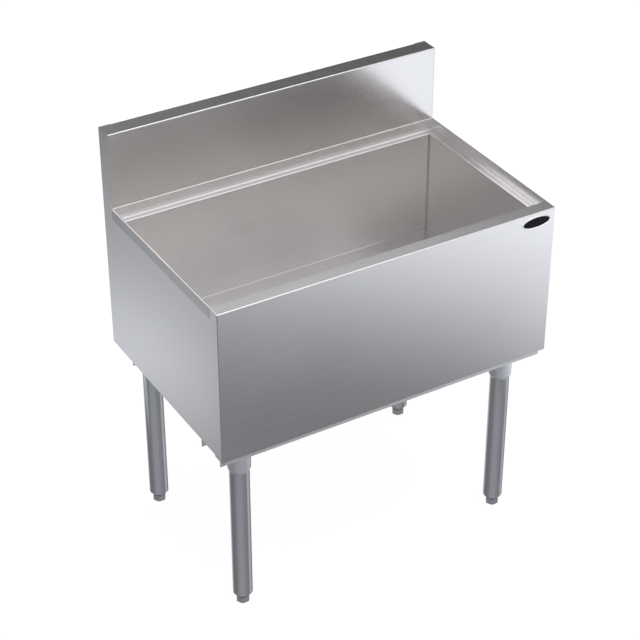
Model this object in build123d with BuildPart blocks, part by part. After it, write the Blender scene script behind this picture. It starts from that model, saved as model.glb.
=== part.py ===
import os
from math import sqrt

from build123d import *

os.makedirs("parts", exist_ok=True)

# The whole bin, from the floor up; x runs along the front, y towards the wall
unit_width = 762.0
unit_depth = 482.6
work_height = 762.0
splash_rise = 165.1
splash_depth = 41.4

# Sheet metal
sheet = 1.2
inner_bend = 0.4
fit_gap = 0.2
overrun = 5.0

# Front apron: face, flat top rail, short returns round the sides
apron_drop = 341.0
rail_depth = 29.5
rail_lip = 12.0
return_depth = 28.0
apron_hem = 8.0

# Side panels, back panel and bottom panel
side_lift = 2.0
side_return = 25.0
back_flange = 20.0
pan_flange = 20.0
splash_lip = 25.0

# Liner: raised rim, ledge, tank
rim_rise = 25.4
ledge_width = 16.0
ledge_bend = 2.0
hem_drop = 24.0
hem_gap = 2.0
tank_depth = 260.0
tank_bend = 1.2
mouth_inner_bend = 0.8

# Drain in the middle of the tank floor
seat_radius = 38.0
seat_depth = 4.0
drain_flange_radius = 35.0
drain_well_gap = 3.0
shank_radius = 21.0
shank_length = 28.0
drain_bore_radius = 15.0
bridge_width = 8.0
bridge_height = 4.0
strainer_radius = 24.0
strainer_sheet = 1.4
strainer_hole_radius = 2.2
strainer_ring_radii = (9.0, 15.5, 20.6)
ring_holes = 6
screw_radius = 2.0
screw_head_radius = 4.2
screw_head_height = 2.0
screw_length = 8.0
gasket_radius = 33.0
gasket_height = 2.0
locknut_flats = 54.0
locknut_height = 8.0
tail_radius = 16.7
tail_wall = 3.4
tail_engagement = 17.0
tail_length = 90.0
tail_thread = 25.0
tail_relief = 0.4
panel_hole_gap = 6.0

# Leg channels under the body
channel_sheet = 2.0
channel_inner_bend = 1.0
channel_height = 19.0
channel_back_height = 9.0
channel_end_gap = 5.2
front_channel_setback = 11.2
rear_channel_setback = 1.7
stud_radius = 3.95
stud_hole_radius = 4.3
stud_length = 11.0
stud_inset = 26.0
stud_inner_place = 120.0
nut_flats = 13.0
nut_height = 6.5
nut_gap = 0.05

# Legs and their sockets
leg_inset = 67.5
front_leg_offset = 8.4
rear_leg_offset = 1.8
leg_radius = 20.65
leg_wall = 1.6
socket_radius = 23.8
socket_length = 76.2
socket_bore_depth = 56.0
socket_taper_height = 5.6
socket_mouth_wall = 0.7
socket_clearance = 4.8
set_screw_radius = 4.0
set_screw_drop = 46.0
set_screw_proud = 1.5
set_screw_key_radius = 2.3
set_screw_key_depth = 3.0

# Levelling feet: insert in the tube, threaded stem, hexagonal foot
foot_height = 15.0
foot_flats = 25.4
foot_chamfer = 1.2
foot_gap = 0.4
insert_band = 1.6
insert_taper = 9.4
insert_tip_radius = 12.7
insert_depth = 40.0
stem_radius = 6.35
stem_length = 57.0
stem_chamfer = 1.0
thread_gap = 0.05
stem_seat = 9.0

# Planes and faces that several pieces share
bend = sheet + inner_bend
half_width = unit_width / 2
front = -unit_depth / 2
back = unit_depth / 2
top = work_height
splash_top = work_height + splash_rise
splash_face = back - splash_depth
apron_base = work_height - apron_drop
base = apron_base + side_lift
panel_x = half_width - sheet
skin_x = half_width - 2 * sheet
inner_x = skin_x - inner_bend
rim_x = half_width - 3 * sheet
wall_front = front + rail_depth - sheet
recess_back = splash_face - sheet
tank_x = rim_x - ledge_width
tank_back = recess_back - ledge_width
ledge_z = top - rim_rise
floor_z = top - tank_depth
drain_place = (0, (wall_front + tank_back) / 2)
seat_z = floor_z - seat_depth
socket_top = base - channel_sheet
insert_base = foot_height + foot_gap
tube_base = insert_base + insert_taper + insert_band
channel_half = socket_radius + max(front_leg_offset, rear_leg_offset) + socket_clearance + channel_sheet
front_channel_y = front + front_channel_setback + channel_half
rear_channel_y = back - rear_channel_setback - channel_half
leg_x = half_width - leg_inset
front_leg_y = front_channel_y + front_leg_offset
rear_leg_y = rear_channel_y + rear_leg_offset
leg_places = {
    "front_left": (-leg_x, front_leg_y),
    "front_right": (leg_x, front_leg_y),
    "rear_left": (-leg_x, rear_leg_y),
    "rear_right": (leg_x, rear_leg_y),
}


def save(part, name):
    part.label = name
    export_step(part, f"parts/{name}.step")
    print(f"{name}: {len(part.solids())} solid(s), {part.volume / 1000:.1f} cm3")


# A block between two values on each axis, in whichever part is open
def block(x, y, z, mode=Mode.ADD):
    with Locations(((x[0] + x[1]) / 2, (y[0] + y[1]) / 2, (z[0] + z[1]) / 2)):
        Box(x[1] - x[0], y[1] - y[0], z[1] - z[0], mode=mode)


# The section of a folded sheet: its outer line, with the sheet laid on the line's right
def folded(plane, points, thickness=sheet, radius=bend):
    with BuildSketch(plane) as section:
        with BuildLine():
            FilletPolyline(points, radius=radius)
            offset(amount=thickness, side=Side.RIGHT)
        make_face()
    return section.sketch


# Half the section of a turned piece, as (radius, height) points, standing on its own axis
def turned(place, outline):
    with BuildSketch(Plane((*place, 0), x_dir=(1, 0, 0), z_dir=(0, -1, 0))) as section:
        with BuildLine():
            Polyline(outline, close=True)
        make_face()
    return section.sketch


def upright(place):
    return Axis((*place, 0), (0, 0, 1))


# Front apron: a block with rounded front edges, hollowed from behind and below
with BuildPart() as front_apron:
    block((-half_width, half_width), (front, front + rail_depth), (apron_base, top))
    front_edges = front_apron.faces().sort_by(Axis.Y)[0].edges()
    top_edges = front_apron.faces().sort_by(Axis.Z)[-1].edges().filter_by(Axis.Y)
    fillet(front_edges.sort_by(Axis.Z)[1:] + top_edges, radius=bend)
    rear_and_base = [front_apron.faces().sort_by(Axis.Y)[-1], front_apron.faces().sort_by(Axis.Z)[0]]
    offset(amount=-sheet, openings=rear_and_base)
    block(
        (-half_width - overrun, half_width + overrun),
        (front + return_depth, front + rail_depth + overrun),
        (apron_base - overrun, top - sheet),
        mode=Mode.SUBTRACT,
    )
    lip_y = (front + rail_depth - sheet, front + rail_depth)
    block((fit_gap - rim_x, rim_x - fit_gap), lip_y, (top - rail_lip, top - sheet / 2))
    hem_y = (front + sheet / 2, front + apron_hem)
    block((sheet - half_width, half_width - sheet), hem_y, (apron_base, apron_base + sheet))
save(front_apron.part, "front_apron")


# Side panel: a full-height sheet with a return at the back, cut down in front of the backsplash
for name, hand in (("left_side_panel", -1), ("right_side_panel", 1)):
    with BuildPart() as side_panel:
        corner = [(-panel_x, front + bend), (-panel_x, back), (side_return - panel_x, back)]
        extrude(folded(Plane.XY.offset(base), corner), amount=splash_top - base)
        block(
            (-half_width - overrun, side_return - half_width),
            (front - overrun, splash_face),
            (top - bend, splash_top + overrun),
            mode=Mode.SUBTRACT,
        )
        if hand > 0:
            mirror(about=Plane.YZ, mode=Mode.REPLACE)
    save(side_panel.part, name)


# Back panel, with a stiffening flange along its top, inside the returns of the side panels
with BuildPart() as back_panel:
    back_face = back - sheet
    fold = [(back_face - back_flange, top), (back_face, top), (back_face, base)]
    extrude(folded(Plane.YZ, fold), amount=inner_x, both=True)
save(back_panel.part, "back_panel")


# Bottom panel: a shallow pan with the drain's hole
with BuildPart() as bottom_panel:
    pan_y = (front + sheet, back - 2 * sheet)
    block((-inner_x, inner_x), pan_y, (base, base + pan_flange))
    fillet(bottom_panel.faces().sort_by(Axis.Z)[0].edges(), radius=bend)
    offset(amount=-sheet, openings=bottom_panel.faces().sort_by(Axis.Z)[-1])
    with BuildSketch(Plane.XY.offset(base)):
        with Locations(drain_place):
            Circle(tail_radius + panel_hole_gap)
    extrude(amount=sheet, mode=Mode.SUBTRACT)
save(bottom_panel.part, "bottom_panel")


# Backsplash: face, top and rear lip, between the upright ends of the side panels
with BuildPart() as backsplash:
    back_inside = back - sheet
    fold = [
        (splash_face, ledge_z + sheet),
        (splash_face, splash_top),
        (back_inside, splash_top),
        (back_inside, splash_top - splash_lip),
    ]
    extrude(folded(Plane.YZ, fold), amount=inner_x, both=True)
save(backsplash.part, "backsplash")


# The hollow of the liner, grown outwards by the sheet for its outer surface
def hollow(grow):
    with BuildPart() as recess:
        recess_x = (-rim_x - grow, rim_x + grow)
        block(recess_x, (wall_front - grow, recess_back + grow), (ledge_z - grow, top))
        lower = recess.faces().sort_by(Axis.Z)[0].edges()
        folded_edges = lower.filter_by(Axis.Y) + lower.filter_by(Axis.X).sort_by(Axis.Y)[-1:]
        fillet(folded_edges, radius=ledge_bend + grow)
    with BuildPart() as tank:
        tank_sides = (-tank_x - grow, tank_x + grow)
        block(tank_sides, (wall_front - grow, tank_back + grow), (floor_z - grow, ledge_z + ledge_bend))
        rear_corners = tank.edges().filter_by(Axis.Z).sort_by(Axis.Y)[-2:]
        fillet(rear_corners, radius=tank_bend + grow)
        fillet(tank.faces().sort_by(Axis.Z)[0].edges(), radius=tank_bend + grow)
    with BuildPart() as both:
        add(recess.part)
        add(tank.part)
        mouth = both.edges().filter_by_position(Axis.Z, ledge_z - grow - fit_gap, ledge_z - grow + fit_gap)
        sides = mouth.filter_by(Axis.Y).sort_by(lambda edge: abs(edge.center().X))[:2]
        rear = mouth.filter_by(Axis.X).sort_by(lambda edge: abs(edge.center().Y - tank_back - grow))[:1]
        corners = mouth.filter_by(GeomType.CIRCLE).sort_by(Axis.Y)[-2:]
        fillet(sides + rear + corners, radius=mouth_inner_bend + sheet - grow)
        with BuildSketch(Plane.XY.offset(seat_z - grow)):
            with Locations(drain_place):
                Circle(seat_radius + grow)
        extrude(amount=seat_depth + tank_bend)
    return both.part


# Liner: rim, ledge and tank in one sheet, with a hem over the top of each side panel
outer_hollow = hollow(sheet)
inner_hollow = hollow(0)
with BuildPart() as liner:
    add(outer_hollow)
    hem_y = (front + return_depth + hem_gap, splash_face)
    for hand in (-1, 1):
        hem_x = sorted((hand * half_width, hand * (half_width - sheet)))
        fold_x = sorted((hand * half_width, hand * rim_x))
        block(hem_x, hem_y, (top - hem_drop, top))
        block(fold_x, hem_y, (top - sheet, top))
    add(inner_hollow, mode=Mode.SUBTRACT)
    block(
        (-half_width - overrun, half_width + overrun),
        (front - overrun, front + rail_depth),
        (top - sheet, top + overrun),
        mode=Mode.SUBTRACT,
    )
    with BuildSketch(Plane.XY.offset(seat_z)):
        with Locations(drain_place):
            Circle(shank_radius + fit_gap)
    extrude(amount=-sheet, mode=Mode.SUBTRACT)
    crown = liner.edges().filter_by_position(Axis.Z, top - fit_gap, top + fit_gap)
    fillet(crown.filter_by(Axis.Y).sort_by(lambda edge: -abs(edge.center().X))[:2], radius=bend)
save(liner.part, "liner")


# Insulation: a bottom board with the drain's well, and four upright boards standing on it
skin_bottom = base + sheet
skin_front = front + 2 * sheet
skin_back = back - 3 * sheet
board_x = inner_x - sheet
board_base = floor_z - sheet
board_top = ledge_z - sheet - mouth_inner_bend
behind_front = wall_front - sheet
behind_back = tank_back + sheet
beside_tank = tank_x + sheet
boards = {
    "insulation_front": ((-board_x, board_x), (skin_front, behind_front), (board_base, top - rail_lip)),
    "insulation_back": ((-board_x, board_x), (behind_back, skin_back), (board_base, board_top)),
    "insulation_left": ((-board_x, -beside_tank), (behind_front, behind_back), (board_base, board_top)),
    "insulation_right": ((beside_tank, board_x), (behind_front, behind_back), (board_base, board_top)),
}
for name, (x, y, z) in boards.items():
    with BuildPart() as board:
        block(x, y, z)
    save(board.part, name)

with BuildPart() as insulation_bottom:
    block((-board_x, board_x), (skin_front, skin_back), (skin_bottom, board_base))
    fillet(insulation_bottom.faces().sort_by(Axis.Z)[0].edges(), radius=bend)
    with Locations((*drain_place, board_base)):
        Hole(seat_radius + sheet + drain_well_gap)
save(insulation_bottom.part, "insulation_bottom")


# Drain body: flange in the seat, threaded shank below, and a bridge for the strainer's screw
strainer_z = floor_z - strainer_sheet
bridge_z = strainer_z - bridge_height
shank_base = seat_z - shank_length
tail_top = shank_base + tail_engagement
with BuildPart() as drain_body:
    outline = [
        (drain_bore_radius, strainer_z),
        (strainer_radius + fit_gap, strainer_z),
        (strainer_radius + fit_gap, floor_z),
        (drain_flange_radius - sheet, floor_z),
        (drain_flange_radius, floor_z - sheet),
        (drain_flange_radius, seat_z),
        (shank_radius, seat_z),
        (shank_radius, shank_base),
        (tail_radius + thread_gap, shank_base),
        (tail_radius + thread_gap, tail_top),
        (drain_bore_radius, tail_top),
    ]
    revolve(turned(drain_place, outline), axis=upright(drain_place))
    bridge_y = (drain_place[1] - bridge_width / 2, drain_place[1] + bridge_width / 2)
    bridge_x = drain_bore_radius + fit_gap
    block((-bridge_x, bridge_x), bridge_y, (bridge_z, strainer_z))
    with Locations((*drain_place, strainer_z)):
        Hole(screw_radius + thread_gap, depth=bridge_height)
save(drain_body.part, "drain_body")

with BuildPart() as drain_gasket:
    with BuildSketch(Plane.XY.offset(seat_z - sheet)):
        with Locations(drain_place):
            Circle(gasket_radius)
            Circle(shank_radius + thread_gap, mode=Mode.SUBTRACT)
    extrude(amount=-gasket_height)
save(drain_gasket.part, "drain_gasket")

with BuildPart() as drain_locknut:
    with BuildSketch(Plane.XY.offset(seat_z - sheet - gasket_height)):
        with Locations(drain_place):
            RegularPolygon(locknut_flats / 2, 6, major_radius=False)
            Circle(shank_radius + thread_gap, mode=Mode.SUBTRACT)
    extrude(amount=-locknut_height)
save(drain_locknut.part, "drain_locknut")

with BuildPart() as drain_strainer:
    with BuildSketch(Plane.XY.offset(strainer_z)):
        with Locations(drain_place):
            Circle(strainer_radius)
            Circle(screw_radius + thread_gap, mode=Mode.SUBTRACT)
            for number, ring_radius in enumerate(strainer_ring_radii, start=1):
                with PolarLocations(ring_radius, number * ring_holes):
                    Circle(strainer_hole_radius, mode=Mode.SUBTRACT)
    extrude(amount=strainer_sheet)
save(drain_strainer.part, "drain_strainer")

with BuildPart() as strainer_screw:
    outline = [
        (0, floor_z - screw_length),
        (screw_radius, floor_z - screw_length),
        (screw_radius, floor_z),
        (screw_head_radius, floor_z),
        (screw_head_radius, floor_z + screw_head_height / 2),
        (screw_head_radius / 2, floor_z + screw_head_height),
        (0, floor_z + screw_head_height),
    ]
    revolve(turned(drain_place, outline), axis=upright(drain_place))
save(strainer_screw.part, "strainer_screw")

with BuildPart() as drain_tailpiece:
    tail_base = tail_top - tail_length
    tail_inside = tail_radius - tail_wall
    outline = [
        (tail_inside, tail_base),
        (tail_radius, tail_base),
        (tail_radius, tail_base + tail_thread),
        (tail_radius - tail_relief, tail_base + tail_thread),
        (tail_radius - tail_relief, shank_base),
        (tail_radius, shank_base),
        (tail_radius, tail_top),
        (tail_inside, tail_top),
    ]
    revolve(turned(drain_place, outline), axis=upright(drain_place))
save(drain_tailpiece.part, "drain_tailpiece")


# Leg channels: folded sections of one length, set against opposite sides of the body, with holes for
# the studs. The rear one has a low flange towards the wall.
channel_length = 2 * skin_x - channel_end_gap
channel_bend = channel_sheet + channel_inner_bend
channels = {
    "front_leg_channel": (-skin_x, front_channel_y, channel_height),
    "rear_leg_channel": (channel_end_gap - skin_x, rear_channel_y, channel_back_height),
}
stud_x = half_width - stud_inset
stud_rows = (front_channel_y, rear_channel_y)
stud_places = [(x, y) for y in stud_rows for x in (-stud_x, -stud_inner_place, stud_inner_place, stud_x)]
for name, (start, middle, far_height) in channels.items():
    with BuildPart() as leg_channel:
        near = middle - channel_half
        far = middle + channel_half
        fold = [(near, base - channel_height), (near, base), (far, base), (far, base - far_height)]
        section = folded(Plane.YZ.offset(start), fold, channel_sheet, channel_bend)
        extrude(section, amount=channel_length)
        with BuildSketch(Plane.XY.offset(base)):
            with Locations([place for place in stud_places if place[1] == middle]):
                Circle(stud_hole_radius)
        extrude(amount=-channel_sheet, mode=Mode.SUBTRACT)
    save(leg_channel.part, name)

with BuildPart() as channel_studs:
    with BuildSketch(Plane.XY.offset(base)):
        with Locations(stud_places):
            Circle(stud_radius)
    extrude(amount=-stud_length)
save(channel_studs.part, "channel_studs")

with BuildPart() as channel_nuts:
    with BuildSketch(Plane.XY.offset(socket_top)):
        with Locations(stud_places):
            RegularPolygon(nut_flats / 2, 6, major_radius=False)
            Circle(stud_radius + nut_gap, mode=Mode.SUBTRACT)
    extrude(amount=-nut_height)
save(channel_nuts.part, "channel_nuts")


# Leg socket: a turned cup, open below, with a taper at its mouth and a hole for the set screw
def make_socket(name, place, inward):
    mouth = socket_top - socket_length
    bore = leg_radius + fit_gap
    outline = [
        (0, socket_top),
        (socket_radius, socket_top),
        (socket_radius, mouth + socket_taper_height),
        (bore + socket_mouth_wall, mouth),
        (bore, mouth),
        (bore, mouth + socket_bore_depth),
        (0, mouth + socket_bore_depth),
    ]
    with BuildPart() as leg_socket:
        revolve(turned(place, outline), axis=upright(place))
        with BuildSketch(Plane((*place, socket_top - set_screw_drop), z_dir=(inward, 0, 0))):
            Circle(set_screw_radius + thread_gap)
        extrude(amount=socket_radius + overrun, mode=Mode.SUBTRACT)
    save(leg_socket.part, f"{name}_leg_socket")


# Leg tube, from the insert's shoulder to the top of the socket's bore
def make_tube(name, place):
    tube_top = socket_top - socket_length + socket_bore_depth
    with BuildPart() as leg_tube:
        with BuildSketch(Plane.XY.offset(tube_base)):
            with Locations(place):
                Circle(leg_radius)
                Circle(leg_radius - leg_wall, mode=Mode.SUBTRACT)
        extrude(amount=tube_top - tube_base)
    save(leg_tube.part, f"{name}_leg_tube")


# Foot insert: pressed into the tube, tapering below it, bored for the stem
def make_insert(name, place):
    body = leg_radius - leg_wall - thread_gap
    bore = stem_radius + thread_gap
    outline = [
        (bore, insert_base),
        (insert_tip_radius, insert_base),
        (leg_radius, insert_base + insert_taper),
        (leg_radius, tube_base),
        (body, tube_base),
        (body, tube_base + insert_depth),
        (bore, tube_base + insert_depth),
    ]
    with BuildPart() as foot_insert:
        revolve(turned(place, outline), axis=upright(place))
    save(foot_insert.part, f"{name}_foot_insert")


# Foot stem: carries the foot's travel in the insert
def make_stem(name, place):
    stem_base = foot_height - stem_seat + fit_gap + thread_gap
    with BuildPart() as foot_stem:
        with BuildSketch(Plane.XY.offset(stem_base)):
            with Locations(place):
                Circle(stem_radius)
        extrude(amount=stem_length)
        chamfer(foot_stem.edges().filter_by(GeomType.CIRCLE).sort_by(Axis.Z)[-1], length=stem_chamfer)
    save(foot_stem.part, f"{name}_foot_stem")


# Hexagonal foot, with a corner towards each side and its lower corners cut away, bored from above
def make_foot(name, place):
    corner = foot_flats / sqrt(3)
    cone = [
        (0, 0),
        (foot_flats / 2 - foot_chamfer, 0),
        (corner, foot_chamfer),
        (corner, foot_height),
        (0, foot_height),
    ]
    with BuildPart() as hex_foot:
        with BuildSketch():
            with Locations(place):
                RegularPolygon(corner, 6)
        extrude(amount=foot_height)
        revolve(turned(place, cone), axis=upright(place), mode=Mode.INTERSECT)
        with Locations((*place, foot_height)):
            Hole(stem_radius + thread_gap, depth=stem_seat)
    save(hex_foot.part, f"{name}_hex_foot")


for name, place in leg_places.items():
    make_socket(name, place, 1 if place[0] < 0 else -1)
    make_tube(name, place)
    make_insert(name, place)
    make_stem(name, place)
    make_foot(name, place)


# Set screws in the sockets, each with a hexagonal key socket
with BuildPart() as socket_set_screws:
    tip = leg_radius + thread_gap
    head = socket_radius + set_screw_proud
    for place in leg_places.values():
        inward = 1 if place[0] < 0 else -1
        screw_z = socket_top - set_screw_drop
        with BuildSketch(Plane((place[0] + inward * tip, place[1], screw_z), z_dir=(inward, 0, 0))):
            Circle(set_screw_radius)
        extrude(amount=head - tip)
        with BuildSketch(Plane((place[0] + inward * head, place[1], screw_z), z_dir=(inward, 0, 0))):
            RegularPolygon(set_screw_key_radius, 6)
        extrude(amount=-set_screw_key_depth, mode=Mode.SUBTRACT)
save(socket_set_screws.part, "socket_set_screws")
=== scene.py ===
# Looks, studio and camera for the underbar ice bin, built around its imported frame
import math

import bpy
import numpy as np
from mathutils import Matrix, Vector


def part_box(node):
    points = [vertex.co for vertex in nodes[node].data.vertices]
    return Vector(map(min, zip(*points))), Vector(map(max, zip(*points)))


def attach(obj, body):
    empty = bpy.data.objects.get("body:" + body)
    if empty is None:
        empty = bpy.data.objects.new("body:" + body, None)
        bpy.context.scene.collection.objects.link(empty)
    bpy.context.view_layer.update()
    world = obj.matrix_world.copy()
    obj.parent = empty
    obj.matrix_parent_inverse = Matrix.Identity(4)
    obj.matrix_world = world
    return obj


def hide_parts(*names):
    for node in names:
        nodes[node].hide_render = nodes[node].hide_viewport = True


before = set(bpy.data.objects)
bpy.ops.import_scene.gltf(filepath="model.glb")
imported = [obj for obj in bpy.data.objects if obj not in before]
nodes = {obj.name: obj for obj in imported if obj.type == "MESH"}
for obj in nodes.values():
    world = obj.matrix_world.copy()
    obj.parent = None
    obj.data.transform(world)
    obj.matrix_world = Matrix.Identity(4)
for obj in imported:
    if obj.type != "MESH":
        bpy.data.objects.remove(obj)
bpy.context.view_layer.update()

print("frame loaded:", len(nodes), "nodes")


# Shader maths and node trees


class Signal:
    # One socket that carries a number. Plain sums on signals add Math nodes.
    def __init__(self, finish, socket):
        self.finish = finish
        self.socket = socket

    def maths(self, operation, first, second=0.0):
        return self.finish.node("ShaderNodeMath", {"operation": operation}, {0: first, 1: second})

    def __add__(self, other):
        return self.maths("ADD", self, other)

    def __radd__(self, other):
        return self.maths("ADD", other, self)

    def __sub__(self, other):
        return self.maths("SUBTRACT", self, other)

    def __rsub__(self, other):
        return self.maths("SUBTRACT", other, self)

    def __mul__(self, other):
        return self.maths("MULTIPLY", self, other)

    def __rmul__(self, other):
        return self.maths("MULTIPLY", other, self)

    def magnitude(self):
        return self.maths("ABSOLUTE", self)

    def atMost(self, limit):
        return self.maths("MINIMUM", self, limit)

    def atLeast(self, limit):
        return self.maths("MAXIMUM", self, limit)

    # 0 below low, 1 above high, eased between
    def rise(self, low, high):
        settings = {"interpolation_type": "SMOOTHSTEP"}
        return self.finish.node("ShaderNodeMapRange", settings, {0: self, 1: low, 2: high})


class Finish:
    # A node tree with one way to add a node: its settings first, then its sockets
    def __init__(self, owner):
        owner.use_nodes = True
        self.owner = owner
        self.tree = owner.node_tree
        self.tree.nodes.clear()

    def node(self, kind, settings=None, sockets=None, output=0):
        made = self.tree.nodes.new(kind)
        for name, value in (settings or {}).items():
            setattr(made, name, value)
        for name, value in (sockets or {}).items():
            if isinstance(value, Signal):
                self.tree.links.new(value.socket, made.inputs[name])
            else:
                made.inputs[name].default_value = value
        return Signal(self, made.outputs[output]) if made.outputs else None

    # Object coordinates, stretched by a factor on each axis
    def stretched(self, factors):
        places = self.node("ShaderNodeTexCoord", output="Object")
        sockets = {"Vector": places, "Scale": factors}
        return self.node("ShaderNodeMapping", {"vector_type": "POINT"}, sockets)

    def noise(self, factors, detail, roughness):
        places = self.stretched(factors)
        sockets = {"Vector": places, "Scale": 1.0, "Detail": detail, "Roughness": roughness}
        return self.node("ShaderNodeTexNoise", {}, sockets)

    # Vector maths, which gives a number for a length or a dot product
    def vector(self, operation, first, second=(0.0, 0.0, 0.0)):
        output = "Value" if operation in ("LENGTH", "DOT_PRODUCT") else "Vector"
        settings = {"operation": operation}
        return self.node("ShaderNodeVectorMath", settings, {0: first, 1: second}, output)

    def axis(self, vector, letter):
        return self.node("ShaderNodeSeparateXYZ", {}, {"Vector": vector}, letter)

    # Sockets 2 and 3 of a Mix node take its two numbers, and 6 and 7 its two colours
    def mix(self, factor, first, second):
        settings = {"data_type": "FLOAT", "clamp_factor": True}
        return self.node("ShaderNodeMix", settings, {0: factor, 2: first, 3: second})

    def blend(self, factor, first, second):
        settings = {"data_type": "RGBA", "clamp_factor": True}
        return self.node("ShaderNodeMix", settings, {0: factor, 6: first, 7: second}, 2)

    def bump(self, height, strength, distance):
        sockets = {"Height": height, "Strength": strength, "Distance": distance}
        return self.node("ShaderNodeBump", {}, sockets)

    def matt(self, colour):
        return self.node("ShaderNodeBsdfDiffuse", {}, {"Color": colour})

    def lit(self, colour, strength):
        return self.node("ShaderNodeEmission", {}, {"Color": colour, "Strength": strength})

    def either(self, factor, first, second):
        return self.node("ShaderNodeMixShader", {}, {0: factor, 1: first, 2: second})

    # Two kinds of ray that the studio tells apart: from the camera, and off metal or
    # through glass
    def rayKinds(self):
        isCamera = self.node("ShaderNodeLightPath", output="Is Camera Ray")
        isGlossy = self.node("ShaderNodeLightPath", output="Is Glossy Ray")
        isThrough = self.node("ShaderNodeLightPath", output="Is Transmission Ray")
        return isCamera, (isGlossy + isThrough).atMost(1.0)

    def finishWith(self, shader, outputKind):
        self.node(outputKind, {}, {"Surface": shader})
        return self.owner

    def surface(self, sockets):
        shader = self.node("ShaderNodeBsdfPrincipled", {}, sockets)
        return self.finishWith(shader, "ShaderNodeOutputMaterial")


def newFinish(name):
    return Finish(bpy.data.materials.new(name))


def rgba(colour):
    return (*colour, 1.0)


def shade(colour, factor):
    return rgba(tuple(min(part * factor, 1.0) for part in colour))


# Finishes

# Grain directions: long along one axis, fine across it
grainFactors = {
    "x": (1.0, 260.0, 260.0),
    "y": (260.0, 1.0, 260.0),
    "z": (260.0, 260.0, 1.0),
}
grainNoise = {"detail": 3.0, "roughness": 0.62}
contrast = (0.3, 0.7)  # where a noise counts as all dark and as all light

steel = {
    "tint": (0.80, 0.787, 0.775),
    "darkest": 0.965,
    "lightest": 1.028,
    "roughness": 0.24,
    "grainRoughness": 0.07,
    "cloudRoughness": 0.05,
    "cloudFactors": (6.0, 6.0, 6.0),
    "cloudNoise": {"detail": 3.0, "roughness": 0.55},
    "fineScale": 5.0,
    "fineShare": 0.5,
    "streakShare": 0.3,
    "cloudShare": 0.2,
    "fineDepth": 0.7,
    "streakDepth": 0.3,
    "bumpStrength": 0.08,
    "bumpDistance": 0.00004,
    "endWallFrom": (0.6, 0.8),
}


def grain(finish, letter, scale=1.0):
    factors = tuple(value * scale for value in grainFactors[letter])
    return finish.noise(factors, **grainNoise)


# The grain of one sheet, or of walls where it turns with each wall's normal
def sheetGrain(finish, letter, scale, endWall):
    if letter != "walls":
        return grain(finish, letter, scale)
    return finish.mix(endWall, grain(finish, "x", scale), grain(finish, "y", scale))


# Brushed sheet: grain along one axis, faint long streaks, and clouds where it was wiped.
# The liner's sheet, whose letter is walls, also gets painted light and shade in some places.
def brushedSheet(name, letter, tint=steel["tint"], roughness=steel["roughness"]):
    finish = newFinish(name)
    onWalls = letter == "walls"
    normal = finish.node("ShaderNodeNewGeometry", output="Normal") if onWalls else None
    endWall = finish.axis(normal, "X").magnitude().rise(*steel["endWallFrom"]) if onWalls else None
    fine = sheetGrain(finish, letter, steel["fineScale"], endWall)
    streak = sheetGrain(finish, letter, 1.0, endWall)
    cloud = finish.noise(steel["cloudFactors"], **steel["cloudNoise"])
    mottle = fine * steel["fineShare"] + streak * steel["streakShare"] + cloud * steel["cloudShare"]
    dark, light = shade(tint, steel["darkest"]), shade(tint, steel["lightest"])
    colour = finish.blend(mottle.rise(*contrast), dark, light)
    if onWalls:
        # painted light and shade on the liner, and rougher ledge folds
        colour, dulled = paintLinerLightAndShade(finish, normal, colour, tint)
        roughness = dulled * ledgeFoldRougher + roughness
    grained = (fine - 0.5) * steel["grainRoughness"] + (cloud - 0.5) * steel["cloudRoughness"]
    relief = fine * steel["fineDepth"] + streak * steel["streakDepth"]
    return finish.surface({
        "Base Color": colour,
        "Metallic": 1.0,
        "Roughness": grained + roughness,
        "Normal": finish.bump(relief, steel["bumpStrength"], steel["bumpDistance"]),
    })


# Painted light and shade on the liner: how much darker or lighter its colour is made in some
# places, standing in for reflections that came out too bright or too dark. The hem, upright
# corners, folds, end walls and ledge get painted shade, and the upstand painted light. The
# ledge's folds are also made rougher, and end walls are brushed across in their grain.
linerPaintedLight = {
    "hem": 0.74,
    "corner": 0.58,
    "ledgeFold": 0.50,
    "tankFold": 0.74,
    "floorFold": 0.58,
    "endWall": 0.87,
    "upstand": 1.13,
    "ledge": 0.91,
}
ledgeFoldRougher = 0.22
# Where those places begin and end: heights, and how far a face leans
foldPlaces = {
    "tankTop": 0.73,
    "ledge": 0.7368,
    "rim": 0.7500,
    "clear": 0.0004,
    "floorAcross": (0.55, 0.65),
    "hemAcross": (0.3790, 0.3808),
    "leaningFrom": (0.05, 0.14),
    "leaningTo": (0.93, 0.99),
    "facing": (0.9, 0.98),
}
# Where the painted shade along the tank's upright corners lies
cornerPlaces = {
    "x": 0.3614,
    "middleY": -0.0152,
    "y": 0.1979,
    "near": 0.0005,
    "far": 0.0040,
}
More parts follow.
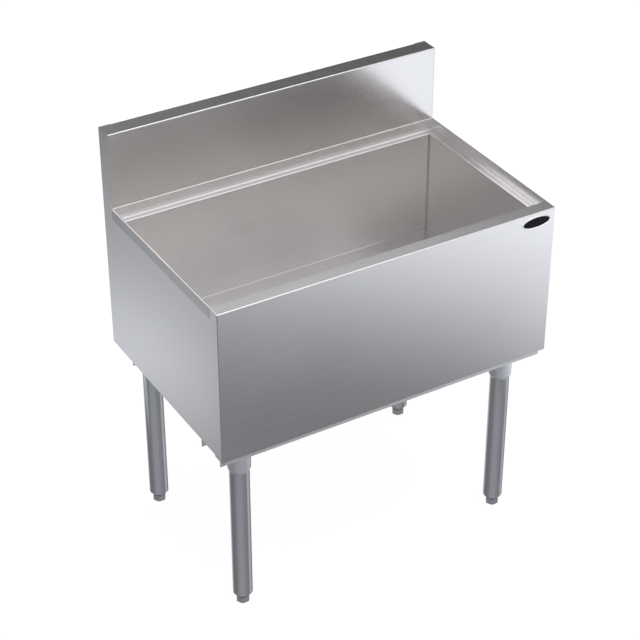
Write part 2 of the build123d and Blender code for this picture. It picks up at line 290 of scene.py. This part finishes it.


# Each place is a mask, worked out from where a point lies and which way it faces. Gives the
# colour with each place's painted shade, or for the upstand painted light, blended in, and
# the mask of the ledge's folds.
def paintLinerLightAndShade(finish, normal, colour, tint):
    places = finish.node("ShaderNodeTexCoord", output="Object")
    across = finish.axis(places, "X").magnitude()
    height = finish.axis(places, "Z")
    level = finish.axis(normal, "Z").magnitude()
    clear = foldPlaces["clear"]
    overLedge = (height - foldPlaces["ledge"]).rise(0.0, clear)
    underRim = 1 - (height - foldPlaces["rim"]).rise(0.0, clear)
    aboveTank = (height - foldPlaces["tankTop"]).rise(0.0, clear)
    lowDown = 1 - height.rise(*foldPlaces["floorAcross"])
    outside = across.rise(*foldPlaces["hemAcross"])
    endOn = finish.axis(normal, "X").magnitude().rise(*foldPlaces["facing"])
    facingFront = (0 - finish.axis(normal, "Y")).rise(*foldPlaces["facing"])
    flat = level.rise(*foldPlaces["leaningTo"])
    leaning = level.rise(*foldPlaces["leaningFrom"]) * (1 - flat)
    offX = (across - cornerPlaces["x"]).magnitude()
    fromMiddle = (finish.axis(places, "Y") - cornerPlaces["middleY"]).magnitude()
    offY = (fromMiddle - cornerPlaces["y"]).magnitude()
    squared = offX * offX + offY * offY
    ledgeFold = overLedge * underRim * leaning
    masks = {
        # hem: painted shade on the liner's outer hem, standing in for its darker reflection
        "hem": outside * endOn,
        # corner: painted shade along the upright corners, standing in for the dark line of their
        # reflection
        "corner": 1 - squared.rise(cornerPlaces["near"] ** 2, cornerPlaces["far"] ** 2),
        # ledgeFold, tankFold and floorFold: painted shade that dims the bright reflections along
        # the folds
        "ledgeFold": ledgeFold,
        "tankFold": (1 - overLedge) * leaning,
        "floorFold": lowDown * leaning,
        # endWall: painted shade on the tank's end walls
        "endWall": (1 - overLedge) * (1 - outside) * endOn,
        # upstand: painted light, a lighter colour on the front-facing upstand
        "upstand": overLedge * facingFront,
        # ledge: painted shade on the flat ledge
        "ledge": aboveTank * underRim * flat,
    }
    for place, mask in masks.items():
        colour = finish.blend(mask, colour, shade(tint, linerPaintedLight[place]))
    return colour, ledgeFold


turned = {
    "lineScale": 4.0,
    "lineShare": 0.6,
    "cloudShare": 0.4,
    "cloudFactors": (40.0, 40.0, 12.0),
    "cloudNoise": {"detail": 3.0, "roughness": 0.6},
    "darkest": 0.93,
    "lineRoughness": 0.08,
    "cloudRoughness": 0.06,
    "bumpStrength": 0.12,
    "bumpDistance": 0.00003,
}


# Turned or drawn metal: fine lines along one axis, with a little mottling
def turnedMetal(name, tint, roughness, letter="z"):
    finish = newFinish(name)
    line = grain(finish, letter, turned["lineScale"])
    cloud = finish.noise(turned["cloudFactors"], **turned["cloudNoise"])
    mottle = line * turned["lineShare"] + cloud * turned["cloudShare"]
    colour = finish.blend(mottle.rise(*contrast), shade(tint, turned["darkest"]), rgba(tint))
    lined = (line - 0.5) * turned["lineRoughness"] + (cloud - 0.5) * turned["cloudRoughness"]
    return finish.surface({
        "Base Color": colour,
        "Metallic": 1.0,
        "Roughness": lined + roughness,
        "Normal": finish.bump(line, turned["bumpStrength"], turned["bumpDistance"]),
    })


plain = {
    "noise": {"detail": 4.0, "roughness": 0.6},
    "darkest": 0.82,
    "mottleRoughness": 0.1,
    "bumpStrength": 0.5,
    "specular": 0.5,
}


# Rubber, foam or enamel: one colour with a fine mottle, whose scale and depth are given
def plainStuff(name, colour, roughness, scale, bumpDistance, specular=plain["specular"]):
    finish = newFinish(name)
    mottle = finish.noise((scale, scale, scale), **plain["noise"])
    tone = finish.blend(mottle.rise(*contrast), shade(colour, plain["darkest"]), rgba(colour))
    return finish.surface({
        "Base Color": tone,
        "Roughness": (mottle - 0.5) * plain["mottleRoughness"] + roughness,
        "Specular IOR Level": specular,
        "Normal": finish.bump(mottle, plain["bumpStrength"], bumpDistance),
    })


def dress(nodeName, material):
    for slot in nodes[nodeName].material_slots:
        slot.material = material


alongX = brushedSheet("brushed_along_x", "x")
alongY = brushedSheet("brushed_along_y", "y")
splashSteel = brushedSheet("brushed_splash", "x", roughness=0.225)
linerSteel = brushedSheet("brushed_liner", "walls", (0.815, 0.802, 0.79))
channelSteel = brushedSheet("brushed_channel", "x", (0.84, 0.83, 0.83), 0.5)
tubeSteel = turnedMetal("tube_steel", (0.725, 0.745, 0.78), 0.2)
socketSteel = turnedMetal("socket_steel", (0.90, 0.916, 0.94), 0.46)
footSteel = turnedMetal("foot_steel", (0.73, 0.75, 0.79), 0.34)
fastenerSteel = turnedMetal("fastener_steel", (0.72, 0.71, 0.69), 0.28)
drainSteel = turnedMetal("drain_steel", steel["tint"], steel["roughness"])
seamSteel = turnedMetal("seam_steel", (0.78, 0.765, 0.75), 0.16, "x")
brightSteel = turnedMetal("bright_steel", (0.97, 0.97, 0.97), 0.18)
drainBrass = turnedMetal("drain_brass", (0.78, 0.63, 0.36), 0.3)
blackEnamel = plainStuff("black_enamel", (0.007, 0.007, 0.008), 0.3, 700.0, 0.00001, 0.08)
gasketRubber = plainStuff("gasket_rubber", (0.03, 0.03, 0.032), 0.65, 300.0, 0.0001)
boardFoam = plainStuff("board_foam", (0.82, 0.72, 0.45), 0.9, 900.0, 0.0004)

finishOf = {
    "front_apron": alongX,
    "backsplash": splashSteel,
    "back_panel": alongX,
    "bottom_panel": alongX,
    "left_side_panel": alongY,
    "right_side_panel": alongY,
    "liner": linerSteel,
    "front_leg_channel": channelSteel,
    "rear_leg_channel": channelSteel,
    "channel_studs": fastenerSteel,
    "channel_nuts": fastenerSteel,
    "socket_set_screws": fastenerSteel,
    "strainer_screw": drainSteel,
    "drain_body": drainSteel,
    "drain_strainer": drainSteel,
    "drain_locknut": drainBrass,
    "drain_tailpiece": drainBrass,
    "drain_gasket": gasketRubber,
}
finishByEnding = {
    "_leg_tube": tubeSteel,
    "_leg_socket": socketSteel,
    "_foot_insert": tubeSteel,
    "_foot_stem": fastenerSteel,
    "_hex_foot": footSteel,
}
for nodeName in nodes:
    if nodeName.startswith("insulation_"):
        finishOf[nodeName] = boardFoam
    for ending, material in finishByEnding.items():
        if nodeName.endswith(ending):
            finishOf[nodeName] = material
    dress(nodeName, finishOf[nodeName])
print("finishes set")


# Pieces worked out on a grid of rows, each row a ring round an upright axis

# Where a piece is shaded smooth, edges that turn by more than this stay sharp, in degrees
sharpFrom = {
    "thread": 60.0,
    "nut": 25.0,
    "seam": 40.0,
    "plate": 30.0,
}


def newPiece(name, points, faces, material):
    mesh = bpy.data.meshes.new(name)
    mesh.from_pydata(points, [], faces)
    mesh.materials.append(material)
    made = bpy.data.objects.new(name, mesh)
    bpy.context.scene.collection.objects.link(made)
    return made


def smoothed(piece, kind):
    piece.data.shade_smooth()
    piece.data.set_sharp_from_angle(angle=math.radians(sharpFrom[kind]))
    return piece


# Rows of a ring surface, as radius and height at each angle, made one closed mesh. A point
# lies at its radius times the cosine and the sine of its angle. A surface whose last row
# meets its first is joined there, and any other gets a flat cap at each end.
def ringSurface(name, places, radii, heights, material, joined=False):
    rows, columns = radii.shape
    angles = np.linspace(0, 2 * np.pi, columns, endpoint=False)
    grid = np.arange(rows * columns).reshape(rows, columns)
    upper = np.roll(grid, -1, axis=0) if joined else grid[1:]
    lower = grid if joined else grid[:-1]
    nextLower, nextUpper = np.roll(lower, -1, axis=1), np.roll(upper, -1, axis=1)
    faces = np.stack([lower, nextLower, nextUpper, upper], axis=-1).reshape(-1, 4).tolist()
    if not joined:
        faces += [grid[0, ::-1].tolist(), grid[-1].tolist()]
    x, y = radii * np.cos(angles), radii * np.sin(angles)
    points = np.stack([x, y, heights], axis=-1).reshape(-1, 3)
    allPoints = np.concatenate([points + (*place, 0.0) for place in places])
    firsts = [copy * len(points) for copy in range(len(places))]
    allFaces = [[corner + first for corner in face] for first in firsts for face in faces]
    return newPiece(name, allPoints.tolist(), allFaces, material)


# A V thread between two heights. The radius falls below the outer one by the depth times a
# triangle wave of (height / pitch - angle / full turn), and the thread runs out at both ends.
def threadRadii(z, angle, low, high, size):
    phase = (z - low) / size["pitch"] - angle / (2 * np.pi)
    wave = np.abs(2 * (phase - np.floor(phase)) - 1)
    ends = np.clip(np.minimum(z - low, high - z) / size["pitch"], 0, 1)
    return size["radius"] - size["depth"] * wave * ends - size["point"] * (1 - ends)


# Even heights, so many to each turn of the thread, and even angles round it
def threadRows(low, high, size):
    count = int((high - low) / size["pitch"] * size["rowsPerTurn"]) + 1
    angle = np.linspace(0, 2 * np.pi, size["columns"], endpoint=False)[None, :]
    return np.linspace(low, high, count)[:, None], angle


# A rod whose radius is the thread's at every height and angle
def threadedRod(name, places, low, high, size, material):
    z, angle = threadRows(low, high, size)
    radii = threadRadii(z, angle, low, high, size)
    return smoothed(ringSurface(name, places, radii, z + 0 * angle, material), "thread")


# A pipe with a thread at its lower end, then a relief, then its full radius, and a bore
def threadedPipe(name, places, low, high, size, material):
    threadTop = low + size["threadLength"]
    z, angle = threadRows(low, threadTop, size)
    relief = size["radius"] - size["relief"]
    rest = [
        (relief, threadTop), (relief, high - size["plainLength"]),
        (size["radius"], high - size["plainLength"]), (size["radius"], high),
        (size["bore"], high), (size["bore"], low),
    ]
    restRadii, restHeights = np.array(rest).T[:, :, None] + 0 * angle
    radii = np.concatenate([threadRadii(z, angle, low, threadTop, size), restRadii])
    heights = np.concatenate([z + 0 * angle, restHeights])
    return smoothed(ringSurface(name, places, radii, heights, material, joined=True), "thread")


# A hexagonal nut. Its section goes up the outside, in over the top and down the bore, and
# the outside is the lesser of the hexagon's radius and a cone at each end.
def hexNut(name, places, low, high, size, material):
    angle = np.linspace(0, 2 * np.pi, size["columns"], endpoint=False)[None, :]
    sixth = np.pi / 3
    hexagon = size["flats"] / 2 / np.cos((angle + size["turn"]) % sixth - sixth / 2)
    levels = np.linspace(0, 1, size["levels"])[:, None]
    outside = low + (high - low) * (0.5 - 0.5 * np.cos(np.pi * levels))
    edge = size["flats"] / 2 * size["faceShare"]
    cone = edge + np.minimum(outside - low, high - outside) / math.tan(size["coneAngle"])
    bore, cut = size["bore"], size["chamfer"]
    inner = [(bore + cut, high), (bore, high - cut), (bore, low + cut), (bore + cut, low)]
    innerRadii, innerHeights = np.array(inner).T[:, :, None] + 0 * angle
    radii = np.concatenate([np.minimum(hexagon, cone), innerRadii])
    heights = np.concatenate([outside + 0 * angle, innerHeights])
    return smoothed(ringSurface(name, places, radii, heights, material, joined=True), "nut")


stem = {
    "radius": 0.00635,
    "pitch": 0.001954,
    "depth": 0.00110,
    "point": 0.0010,
    "columns": 32,
    "rowsPerTurn": 6,
}

# Foot stems, with the thread that the foot turns on
for nodeName in sorted(nodes):
    if nodeName.endswith("_foot_stem"):
        lowest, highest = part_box(nodeName)
        middle = ((lowest[0] + highest[0]) / 2, (lowest[1] + highest[1]) / 2)
        low, high = lowest[2], highest[2]
        threaded = threadedRod(nodeName + "_threaded", [middle], low, high, stem, fastenerSteel)
        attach(threaded, nodeName.replace("_foot_stem", "_stem"))
        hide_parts(nodeName)
print("foot stems threaded")


stud = {
    "radius": 0.00395,
    "pitch": 0.001411,
    "depth": 0.00075,
    "point": 0.0006,
    "columns": 24,
    "rowsPerTurn": 6,
    "innerPlace": 0.120,
}
channelNut = {
    "flats": 0.013,
    "bore": 0.00400,
    "chamfer": 0.00035,
    "faceShare": 0.96,
    "coneAngle": math.radians(30),
    "turn": math.radians(30),
    "columns": 72,
    "levels": 9,
}

# Studs and nuts that hold the two channels
lowest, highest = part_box("channel_studs")
outerPlace = highest[0] - stud["radius"]
studRows = (lowest[1] + stud["radius"], highest[1] - stud["radius"])
studColumns = (-outerPlace, -stud["innerPlace"], stud["innerPlace"], outerPlace)
studPlaces = [(x, y) for y in studRows for x in studColumns]
low, high = lowest[2], highest[2]
studs = threadedRod("channel_studs_threaded", studPlaces, low, high, stud, fastenerSteel)
lowest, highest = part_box("channel_nuts")
low, high = lowest[2], highest[2]
nuts = hexNut("channel_nuts_chamfered", studPlaces, low, high, channelNut, fastenerSteel)
for piece, nodeName in ((studs, "channel_studs"), (nuts, "channel_nuts")):
    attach(piece, "bin")
    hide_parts(nodeName)
print("studs and nuts made")


# The drain's outlet pipe, with the thread that a hose fitting screws on, and its locknut
tailpiece = {
    "radius": 0.0167,
    "bore": 0.0133,
    "pitch": 0.002209,
    "depth": 0.0012,
    "point": 0.0013,
    "relief": 0.0004,
    "threadLength": 0.025,
    "plainLength": 0.017,
    "columns": 48,
    "rowsPerTurn": 6,
}
locknut = {
    "flats": 0.054,
    "bore": 0.02105,
    "chamfer": 0.0006,
    "faceShare": 0.97,
    "coneAngle": math.radians(30),
    "turn": 0.0,
    "columns": 96,
    "levels": 9,
}
lowest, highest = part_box("drain_tailpiece")
drainPlace = ((lowest[0] + highest[0]) / 2, (lowest[1] + highest[1]) / 2)
low, high = lowest[2], highest[2]
pipe = threadedPipe("drain_tailpiece_threaded", [drainPlace], low, high, tailpiece, drainBrass)
lowest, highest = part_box("drain_locknut")
low, high = lowest[2], highest[2]
ring = hexNut("drain_locknut_chamfered", [drainPlace], low, high, locknut, drainBrass)
for piece, nodeName in ((pipe, "drain_tailpiece"), (ring, "drain_locknut")):
    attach(piece, "bin")
    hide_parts(nodeName)
print("drain outlet made")


# A thin bead where the liner's upstand meets the backsplash, straight from end to end. Its
# section is a quarter circle about the corner of the two, with a radius as its flat sides.
seam = {
    "halfLength": 0.377,
    "face": 0.1999,
    "height": 0.762,
    "radius": 0.0011,
    "columns": 9,
}


def makeSeam():
    turn = np.linspace(0, np.pi / 2, seam["columns"])
    across = seam["face"] - seam["radius"] * np.cos(turn)
    up = seam["height"] + seam["radius"] * np.sin(turn)
    section = np.stack([np.append(across, seam["face"]), np.append(up, seam["height"])], axis=-1)
    ends = (-seam["halfLength"], seam["halfLength"])
    points = [(x, y, z) for x in ends for y, z in section]
    count = len(section)
    rims = [list(range(count))[::-1], list(range(count, 2 * count))]
    sides = [[k, (k + 1) % count, (k + 1) % count + count, k + count] for k in range(count)]
    made = newPiece("splash_seam", points, rims + sides, seamSteel)
    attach(smoothed(made, "seam"), "bin")


# A bare oval plate on the apron: a bright ring round a low black dome. Rows go from the
# back outwards, up the side and in to the middle, each as how far it lies inside the
# oval's edge, its share of what is left of the oval there, and how proud it stands. The
# oval's radius is that of an ellipse with its half width and half height less the inset.
plate = {
    "middle": (0.3355, 0.7413),
    "face": -0.2413,
    "half": (0.0346, 0.0133),
    "columns": 96,
    "ring": (
        (0.0027, 1.0, 0.0), (0.0, 1.0, 0.0), (0.0, 1.0, 0.0002),
        (0.0003, 1.0, 0.0007), (0.0007, 1.0, 0.00095), (0.0018, 1.0, 0.00095),
        (0.0022, 1.0, 0.0008), (0.0024, 1.0, 0.0005), (0.0027, 1.0, 0.0003),
    ),
    "dome": (
        (0.0024, 1.0, 0.0001), (0.0024, 1.0, 0.0003), (0.0024, 0.985, 0.00045),
        (0.0024, 0.9, 0.00055), (0.0024, 0.6, 0.0007), (0.0024, 0.3, 0.0008),
        (0.0024, 0.02, 0.00082),
    ),
}


def makePlate(name, profile, material, joined):
    inset, share, proud = np.array(profile).T[:, :, None]
    angle = np.linspace(0, 2 * np.pi, plate["columns"], endpoint=False)[None, :]
    wide, tall = plate["half"][0] - inset, plate["half"][1] - inset
    oval = wide * tall / np.sqrt((tall * np.cos(angle)) ** 2 + (wide * np.sin(angle)) ** 2)
    made = ringSurface(name, [(0.0, 0.0)], share * oval, proud + 0 * angle, material, joined)
    flat = np.empty(len(made.data.vertices) * 3)
    made.data.vertices.foreach_get("co", flat)
    x, y, z = flat.reshape(-1, 3).T
    upright = np.stack([x + plate["middle"][0], plate["face"] - z, y + plate["middle"][1]], axis=-1)
    made.data.vertices.foreach_set("co", upright.ravel())
    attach(smoothed(made, "plate"), "bin")


makeSeam()
makePlate("oval_plate_ring", plate["ring"], brightSteel, True)
makePlate("oval_plate_dome", plate["dome"], blackEnamel, False)
print("seam and plate made")


# Studio

studio = {
    "floorSize": 14.0,
    "floorDrop": 0.0006,
    "floorGlow": 0.93,
    "floorCameraShade": 0.12,
    "floorShade": 0.8,
    "floorBase": 0.22,
    "floorTint": (0.945, 0.979, 1.05),
    "skyBase": 0.53,
    "bandBase": 0.21,
    "skyTint": (0.954, 0.95, 0.984),
    "horizon": (-0.01, 0.01),
    "ambient": 0.78,
    "lampPower": 38.0,
    "lampSize": 3.0,
    "lampPlace": (0.6, -0.9, 3.4),
    "lampTarget": (0.0, 0.0, 0.4),
}
white = rgba((1.0, 1.0, 1.0))


def grey(level):
    return rgba((level, level, level))


# Soft light that only metal sees, summed over pools or cards. Each gives its strength at its
# middle and nothing at its reach, eased between. A shade has a strength below nothing.
def softLight(finish, vector, base, cards):
    glow = base
    for card in cards.values():
        offset = finish.vector("SUBTRACT", vector, card["middle"])
        far = finish.vector("LENGTH", finish.vector("DIVIDE", offset, card["reach"]))
        glow = (1 - far.rise(0.0, 1.0)) * card["strength"] + glow
    return glow.atLeast(0.0)


# Light that lies on the floor, in metres from the bin's middle
floorPools = {
    "right": {"middle": (1.07, -0.45, 0.0), "reach": (1.79, 1.77, 1.0), "strength": 1.36},
    "front": {"middle": (1.15, -3.36, 0.0), "reach": (2.32, 3.04, 1.0), "strength": 1.67},
    "behindNear": {"middle": (-0.66, 0.68, 0.0), "reach": (0.3, 0.72, 1.0), "strength": 0.38},
    "behindFar": {"middle": (1.4, 2.7, 0.0), "reach": (2.3, 1.9, 1.0), "strength": 1.0},
    "leftFar": {"middle": (-2.5, -2.2, 0.0), "reach": (1.6, 1.6, 1.0), "strength": 0.6},
    "behindWide": {"middle": (-0.72, 1.09, 0.0), "reach": (1.86, 1.16, 1.0), "strength": 0.27},
    "frontShade": {"middle": (0.61, -0.59, 0.0), "reach": (1.18, 1.23, 1.0), "strength": -0.97},
}


# The floor near the legs is open to metal, so that each leg mirrors the same upright bands
legZone = {
    "x": 0.3135,
    "y": 0.1926,
    "middleY": 0.0099,
    "near": 0.44,
    "far": 0.58,
    "panelFrom": (0.15, 0.30),
    "panelSide": (0.55, 0.65),
}


def nearLegs(finish, places):
    x = finish.axis(places, "X")
    y = finish.axis(places, "Y")
    across = x.magnitude() - legZone["x"]
    along = (y - legZone["middleY"]).magnitude() - legZone["y"]
    close = 1 - (across * across + along * along).rise(legZone["near"] ** 2, legZone["far"] ** 2)
    panel = y.rise(*legZone["panelFrom"]) * (0 - x).rise(*legZone["panelSide"])
    return close * (1 - panel)


# The floor: white with a faint shadow to the eye, and a pale studio floor to metal
def makeFloor():
    finish = newFinish("studio_floor")
    places = finish.node("ShaderNodeTexCoord", output="Object")
    isCamera, isMirror = finish.rayKinds()
    pools = softLight(finish, places, studio["floorBase"], floorPools)
    toEye = finish.node("ShaderNodeAddShader", {}, {
        0: finish.matt(grey(studio["floorCameraShade"])),
        1: finish.lit(white, studio["floorGlow"]),
    })
    toRoom = finish.matt(grey(studio["floorShade"]))
    tinted = finish.lit(rgba(studio["floorTint"]), pools)
    clear = finish.node("ShaderNodeBsdfTransparent")
    toMetal = finish.either(nearLegs(finish, places), tinted, clear)
    shader = finish.either(isMirror, finish.either(isCamera, toRoom, toEye), toMetal)
    material = finish.finishWith(shader, "ShaderNodeOutputMaterial")
    half, height = studio["floorSize"] / 2, -studio["floorDrop"]
    square = ((-half, -half), (half, -half), (half, half), (-half, half))
    corners = [(x, y, height) for x, y in square]
    floor = newPiece("studio_floor", corners, [(0, 1, 2, 3)], material)


# Cards and flags round the bin, each placed by the direction to it from the bin
skyCards = {
    "strip": {"middle": (0.42, -0.05, 0.92), "reach": (0.42, 0.45, 0.25), "strength": 2.4},
    "behind": {"middle": (-0.42, 0.72, 0.56), "reach": (0.30, 0.30, 0.30), "strength": 0.65},
    "front": {"middle": (-0.04, -0.92, 0.38), "reach": (0.54, 0.51, 0.97), "strength": 1.59},
    "overRight": {"middle": (0.24, -0.27, 0.83), "reach": (1.13, 0.57, 0.75), "strength": 1.25},
    "overLeft": {"middle": (-0.55, 0.34, 0.75), "reach": (1.25, 1.04, 0.26), "strength": 3.47},
    "frontLeft": {"middle": (-0.41, -0.82, -0.13), "reach": (0.99, 0.57, 0.55), "strength": 0.98},
    "behindRight": {"middle": (0.39, 0.63, 0.64), "reach": (0.32, 0.18, 0.21), "strength": 1.9},
    "behindShade": {"middle": (0.64, 0.63, 0.32), "reach": (0.60, 0.82, 0.65), "strength": -1.19},
    "leftShade": {"middle": (-0.38, -0.60, 0.88), "reach": (0.63, 0.42, 0.45), "strength": -1.15},
    "rightShade": {"middle": (0.82, 0.16, 0.49), "reach": (0.62, 0.67, 0.55), "strength": -0.46},
}


# Upright bands seen through the opening round the legs. Each is full where the cosine of the
# angle from its way reaches full, and gone where it falls to none.
legBands = {
    "behind": {"way": (0.08, 1.0, 0.0), "none": 0.848, "full": 0.94, "strength": 0.40},
    "front": {"way": (-0.58, -0.81, 0.0), "none": 0.643, "full": 0.985, "strength": 0.07},
    "wide": {"way": (-0.32, -0.95, 0.0), "none": -0.17, "full": 0.98, "strength": 0.09},
    "right": {"way": (0.98, -0.20, 0.0), "none": 0.906, "full": 0.974, "strength": 0.33},
    "behindRight": {"way": (0.75, 0.66, 0.0), "none": 0.914, "full": 0.978, "strength": 0.05},
}


def bandLight(finish, way, base):
    flat = finish.vector("MULTIPLY", way, (1.0, 1.0, 0.0))
    facing = finish.vector("NORMALIZE", flat)
    glow = base
    for band in legBands.values():
        cosine = finish.vector("DOT_PRODUCT", facing, band["way"])
        glow = cosine.rise(band["none"], band["full"]) * band["strength"] + glow
    return glow


# The room: white to the eye, even to plain stuff, and the cards to metal
def makeWorld():
    world = bpy.data.worlds.new("studio")
    bpy.context.scene.world = world
    finish = Finish(world)
    way = finish.node("ShaderNodeTexCoord", output="Generated")
    above = finish.axis(way, "Z").rise(*studio["horizon"])
    cards = softLight(finish, way, studio["skyBase"], skyCards)
    glow = finish.mix(above, bandLight(finish, way, studio["bandBase"]), cards)
    isCamera, isMirror = finish.rayKinds()
    strength = finish.mix(isCamera, finish.mix(isMirror, studio["ambient"], glow), 1.0)
    colour = finish.blend(isCamera, rgba(studio["skyTint"]), white)
    shader = finish.node("ShaderNodeBackground", {}, {"Color": colour, "Strength": strength})
    finish.finishWith(shader, "ShaderNodeOutputWorld")


# One soft lamp overhead, for what isn't metal and for the shadow on the floor
def makeLamp():
    light = bpy.data.lights.new("softbox", "AREA")
    light.shape = "DISK"
    light.size = studio["lampSize"]
    light.energy = studio["lampPower"]
    lamp = bpy.data.objects.new("softbox", light)
    lamp.location = studio["lampPlace"]
    x, y, z = (b - a for a, b in zip(studio["lampPlace"], studio["lampTarget"]))
    lamp.rotation_euler = (
        math.pi / 2 + math.atan2(z, math.hypot(x, y)),
        0.0,
        math.atan2(y, x) - math.pi / 2,
    )
    lamp.visible_glossy = False
    bpy.context.scene.collection.objects.link(lamp)


makeFloor()
makeWorld()
makeLamp()
print("studio set")


# Camera at the photograph's angle

viewpoint = {
    "place": (-1.6811, -2.8013, 2.6677),
    "azimuth": 30.67,
    "elevation": 33.76,
    "lens": 106.7,
    "sensor": 36.0,
}


def makeCamera():
    lens = bpy.data.cameras.new("photo_view")
    lens.lens = viewpoint["lens"]
    lens.sensor_width = viewpoint["sensor"]
    camera = bpy.data.objects.new("photo_view", lens)
    camera.location = viewpoint["place"]
    tilt = math.radians(90 - viewpoint["elevation"])
    camera.rotation_euler = (tilt, 0.0, -math.radians(viewpoint["azimuth"]))
    bpy.context.scene.collection.objects.link(camera)
    bpy.context.scene.camera = camera


makeCamera()
bpy.context.scene.view_settings.view_transform = "Standard"
print("camera set")
